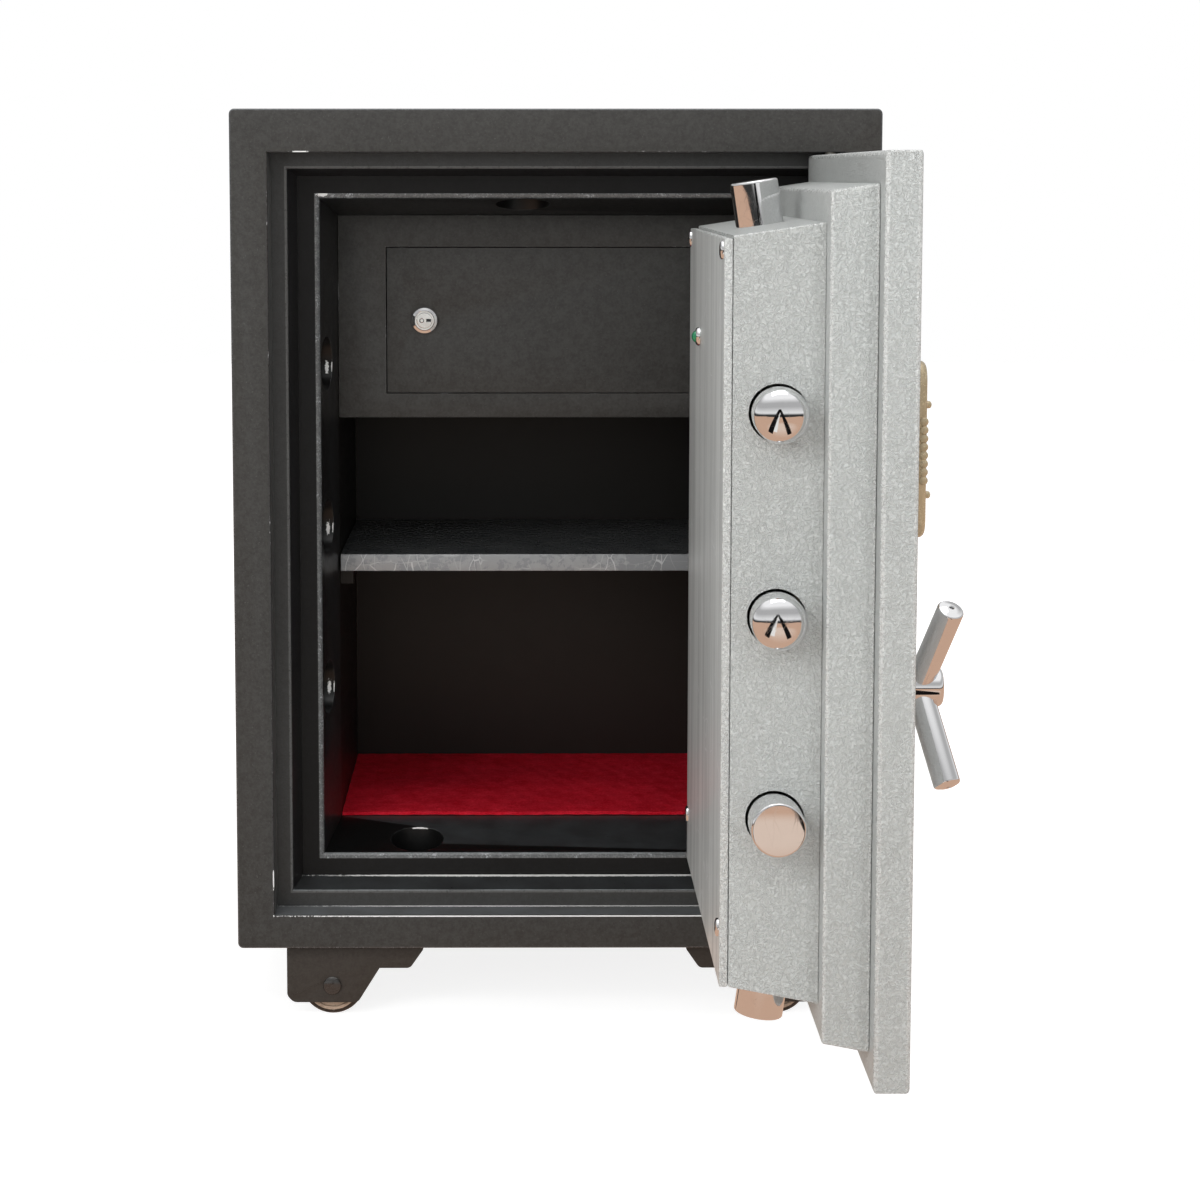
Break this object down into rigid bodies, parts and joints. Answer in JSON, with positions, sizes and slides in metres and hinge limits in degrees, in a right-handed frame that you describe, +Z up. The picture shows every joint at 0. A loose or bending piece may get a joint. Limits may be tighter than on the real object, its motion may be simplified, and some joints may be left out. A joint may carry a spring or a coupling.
{
  "type": "fire-resistant office safe",
  "caption": "Free-standing steel safe on low castors with a stepped plug door, rotary bolt gear, keypad, inner locker, shelf and felt mat.",
  "frame": {"origin": "centre of the cabinet's flat underside, above the castors", "axes": "+Z up, +X to the door's hinge side, -Y out of the doorway; the door rests open at 90 degrees"},
  "size_m": [0.4872, 0.8354, 0.6907],
  "materials": {
    "charcoal_paint": "fine textured powder coat, charcoal",
    "black_paint": "satin black paint",
    "fire_filling": "cast fire-resistant mix, rough",
    "shelf_steel": "dark satin paint with a bare scratched front edge",
    "red_felt": "needled felt",
    "zinc_steel": "zinc-plated steel",
    "chrome": "polished plate",
    "wheel_iron": "machined face, dark rim",
    "hammered_paint": "silver grey hammered paint",
    "cover_steel": "smooth satin steel",
    "green_plastic": "glossy",
    "gold_housing": "champagne gold metallic",
    "key_rubber": "matt moulded rubber"
  },
  "bodies": {
    "cabinet": {"outer_shell": "charcoal_paint", "front_frame": "charcoal_paint", "jamb_ring_outer": "charcoal_paint", "jamb_ring_inner": "charcoal_paint", "inner_liner": "black_paint", "fire_filling": "fire_filling", "shelf": "shelf_steel", "felt_mat": "red_felt", "pivot_pin_top": "zinc_steel", "pivot_pin_bottom": "zinc_steel", "locker_housing": "charcoal_paint", "locker_hinge_pin": "zinc_steel", "castor_bracket_front_left": "charcoal_paint", "castor_bracket_front_right": "charcoal_paint", "castor_bracket_rear_left": "charcoal_paint", "castor_bracket_rear_right": "charcoal_paint", "castor_axle_front_left": "charcoal_paint", "castor_axle_front_right": "charcoal_paint", "castor_axle_rear_left": "charcoal_paint", "castor_axle_rear_right": "charcoal_paint"},
    "door": {"door_plate": "hammered_paint", "door_plug": "hammered_paint", "bolt_box": "hammered_paint", "cover_plate": "cover_steel", "button_bezel": "chrome", "keypad_housing": "gold_housing"},
    "handle": {"drive_disc": "zinc_steel", "handle_hub": "chrome", "handle_spoke_1": "chrome", "handle_spoke_2": "chrome", "handle_spoke_3": "chrome"},
    "side_bolts": {"bolt_bar": "zinc_steel", "side_bolt_top": "chrome", "side_bolt_middle": "chrome", "side_bolt_bottom": "chrome"},
    "top_link": {"top_link": "zinc_steel"},
    "top_bolt": {"top_bolt": "chrome"},
    "bottom_link": {"bottom_link": "zinc_steel"},
    "bottom_bolt": {"bottom_bolt": "chrome"},
    "reset_button": {"reset_button": "green_plastic"},
    "locker_door": {"locker_door": "charcoal_paint", "lock_barrel": "chrome"},
    "locker_lock": {"lock_plug": "chrome", "lock_cam": "zinc_steel"},
    "keypad_key_1": {"keypad_key_1": "key_rubber"},
    "keypad_key_2": {"keypad_key_2": "key_rubber"},
    "keypad_key_3": {"keypad_key_3": "key_rubber"},
    "keypad_key_4": {"keypad_key_4": "key_rubber"},
    "keypad_key_5": {"keypad_key_5": "key_rubber"},
    "keypad_key_6": {"keypad_key_6": "key_rubber"},
    "keypad_key_7": {"keypad_key_7": "key_rubber"},
    "keypad_key_8": {"keypad_key_8": "key_rubber"},
    "keypad_key_9": {"keypad_key_9": "key_rubber"},
    "keypad_key_10": {"keypad_key_10": "key_rubber"},
    "keypad_key_11": {"keypad_key_11": "key_rubber"},
    "keypad_key_12": {"keypad_key_12": "key_rubber"},
    "castor_wheel_front_left": {"castor_wheel_front_left": "wheel_iron"},
    "castor_wheel_front_right": {"castor_wheel_front_right": "wheel_iron"},
    "castor_wheel_rear_left": {"castor_wheel_rear_left": "wheel_iron"},
    "castor_wheel_rear_right": {"castor_wheel_rear_right": "wheel_iron"}
  },
  "joints": [
    {"name": "door_swing", "type": "hinge", "parent": "cabinet", "child": "door", "pos_m": [0.2025, -0.2079, 0.3122], "axis": [0, 0, 1], "range_deg": [-90, 14]},
    {"name": "handle_turn", "type": "hinge", "parent": "door", "child": "handle", "pos_m": [0.2096, -0.5304, 0.2612], "axis": [-1, 0, 0], "range_deg": [0, 60]},
    {"name": "side_bolts_slide", "type": "slide", "parent": "door", "child": "side_bolts", "axis": [0, 1, 0], "range_m": [0, 0.029]},
    {"name": "top_link_slide", "type": "slide", "parent": "door", "child": "top_link", "axis": [0, 0, -1], "range_m": [0, 0.029]},
    {"name": "top_bolt_slide", "type": "slide", "parent": "door", "child": "top_bolt", "axis": [0.1479, 0, -0.989], "range_m": [0, 0.02934]},
    {"name": "bottom_link_slide", "type": "slide", "parent": "door", "child": "bottom_link", "axis": [0, 0, 1], "range_m": [0, 0.029]},
    {"name": "bottom_bolt_slide", "type": "slide", "parent": "door", "child": "bottom_bolt", "axis": [0.1479, 0, 0.989], "range_m": [0, 0.02934]},
    {"name": "reset_button_press", "type": "slide", "parent": "door", "child": "reset_button", "axis": [1, 0, 0], "range_m": [0, 0.0015], "stiffness_N_per_m": 400},
    {"name": "locker_swing", "type": "hinge", "parent": "cabinet", "child": "locker_door", "pos_m": [0.1285, -0.09, 0.4691], "axis": [0, 0, 1], "range_deg": [0, 78]},
    {"name": "lock_turn", "type": "hinge", "parent": "locker_door", "child": "locker_lock", "pos_m": [-0.1011, -0.092, 0.4691], "axis": [0, 1, 0], "range_deg": [0, 90]},
    {"name": "key_1_press", "type": "slide", "parent": "door", "child": "keypad_key_1", "axis": [-1, 0, 0], "range_m": [0, 0.0015], "stiffness_N_per_m": 400},
    {"name": "key_2_press", "type": "slide", "parent": "door", "child": "keypad_key_2", "axis": [-1, 0, 0], "range_m": [0, 0.0015], "stiffness_N_per_m": 400},
    {"name": "key_3_press", "type": "slide", "parent": "door", "child": "keypad_key_3", "axis": [-1, 0, 0], "range_m": [0, 0.0015], "stiffness_N_per_m": 400},
    {"name": "key_4_press", "type": "slide", "parent": "door", "child": "keypad_key_4", "axis": [-1, 0, 0], "range_m": [0, 0.0015], "stiffness_N_per_m": 400},
    {"name": "key_5_press", "type": "slide", "parent": "door", "child": "keypad_key_5", "axis": [-1, 0, 0], "range_m": [0, 0.0015], "stiffness_N_per_m": 400},
    {"name": "key_6_press", "type": "slide", "parent": "door", "child": "keypad_key_6", "axis": [-1, 0, 0], "range_m": [0, 0.0015], "stiffness_N_per_m": 400},
    {"name": "key_7_press", "type": "slide", "parent": "door", "child": "keypad_key_7", "axis": [-1, 0, 0], "range_m": [0, 0.0015], "stiffness_N_per_m": 400},
    {"name": "key_8_press", "type": "slide", "parent": "door", "child": "keypad_key_8", "axis": [-1, 0, 0], "range_m": [0, 0.0015], "stiffness_N_per_m": 400},
    {"name": "key_9_press", "type": "slide", "parent": "door", "child": "keypad_key_9", "axis": [-1, 0, 0], "range_m": [0, 0.0015], "stiffness_N_per_m": 400},
    {"name": "key_10_press", "type": "slide", "parent": "door", "child": "keypad_key_10", "axis": [-1, 0, 0], "range_m": [0, 0.0015], "stiffness_N_per_m": 400},
    {"name": "key_11_press", "type": "slide", "parent": "door", "child": "keypad_key_11", "axis": [-1, 0, 0], "range_m": [0, 0.0015], "stiffness_N_per_m": 400},
    {"name": "key_12_press", "type": "slide", "parent": "door", "child": "keypad_key_12", "axis": [-1, 0, 0], "range_m": [0, 0.0015], "stiffness_N_per_m": 400},
    {"name": "wheel_roll_front_left", "type": "hinge", "parent": "cabinet", "child": "castor_wheel_front_left", "pos_m": [-0.1697, -0.185, -0.0325], "axis": [0, 1, 0], "continuous": true},
    {"name": "wheel_roll_front_right", "type": "hinge", "parent": "cabinet", "child": "castor_wheel_front_right", "pos_m": [0.1697, -0.185, -0.0325], "axis": [0, 1, 0], "continuous": true},
    {"name": "wheel_roll_rear_left", "type": "hinge", "parent": "cabinet", "child": "castor_wheel_rear_left", "pos_m": [-0.1697, 0.185, -0.0325], "axis": [0, 1, 0], "continuous": true},
    {"name": "wheel_roll_rear_right", "type": "hinge", "parent": "cabinet", "child": "castor_wheel_rear_right", "pos_m": [0.1697, 0.185, -0.0325], "axis": [0, 1, 0], "continuous": true}
  ],
  "couplings": [
    {"joint": "side_bolts_slide", "follows": "handle_turn", "m_per_rad": 0.02769},
    {"joint": "top_link_slide", "follows": "handle_turn", "m_per_rad": 0.02769},
    {"joint": "bottom_link_slide", "follows": "handle_turn", "m_per_rad": 0.02769},
    {"joint": "top_bolt_slide", "follows": "handle_turn", "m_per_rad": 0.027998},
    {"joint": "bottom_bolt_slide", "follows": "handle_turn", "m_per_rad": 0.027998}
  ]
}
